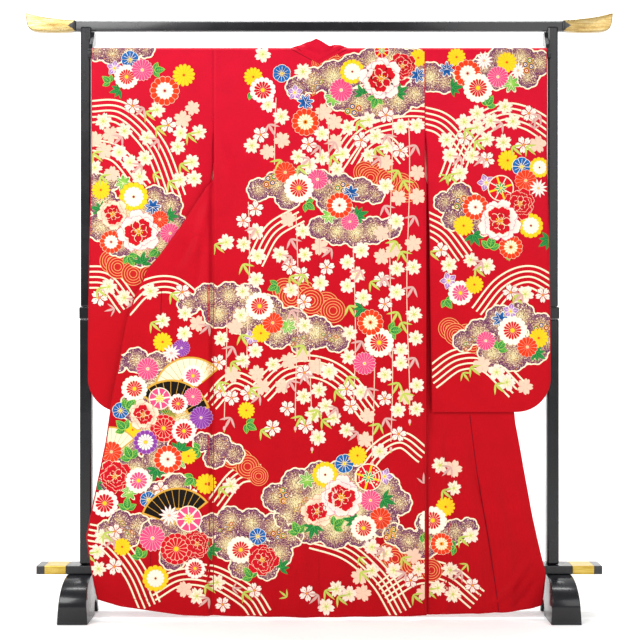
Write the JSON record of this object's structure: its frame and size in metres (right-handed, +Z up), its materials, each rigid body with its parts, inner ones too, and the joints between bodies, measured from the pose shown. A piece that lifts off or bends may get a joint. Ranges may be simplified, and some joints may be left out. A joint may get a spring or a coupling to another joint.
{
  "type": "furisode kimono on a two-post kimono rack",
  "caption": "Long-sleeved silk kimono hung open over the rod of a lacquered two-post rack, its back to the front, one front spread out beside it and one drawn round behind.",
  "frame": {"origin": "on the floor, under the middle of the rack's feet", "axes": "+X to the viewer's right along the rod, +Y away from the viewer of the garment's back, +Z up"},
  "size_m": [1.7198, 0.19, 1.7589],
  "materials": {
    "silk": "soft crepe with a painted pattern",
    "lacquer": "gloss black lacquer",
    "gilt": "satin gilt"
  },
  "bodies": {
    "root": {"back_left": "silk", "front_left": "silk", "okumi_left": "silk", "back_right": "silk", "front_right": "silk", "okumi_right": "silk", "sleeve_left_back": "silk", "sleeve_left_front": "silk", "sleeve_right_back": "silk", "sleeve_right_front": "silk", "collar": "silk", "rod": "lacquer", "rod_hook_left": "lacquer", "rod_hook_right": "lacquer", "top_bar": "lacquer", "lower_rail": "lacquer", "post_upper_left": "lacquer", "post_lower_left": "lacquer", "post_clamp_left": "lacquer", "clamp_knob_left": "lacquer", "foot_left": "lacquer", "post_upper_right": "lacquer", "post_lower_right": "lacquer", "post_clamp_right": "lacquer", "clamp_knob_right": "lacquer", "foot_right": "lacquer", "bar_finial_left": "gilt", "rail_cap_left": "gilt", "bar_finial_right": "gilt", "rail_cap_right": "gilt"}
  },
  "joints": []
}
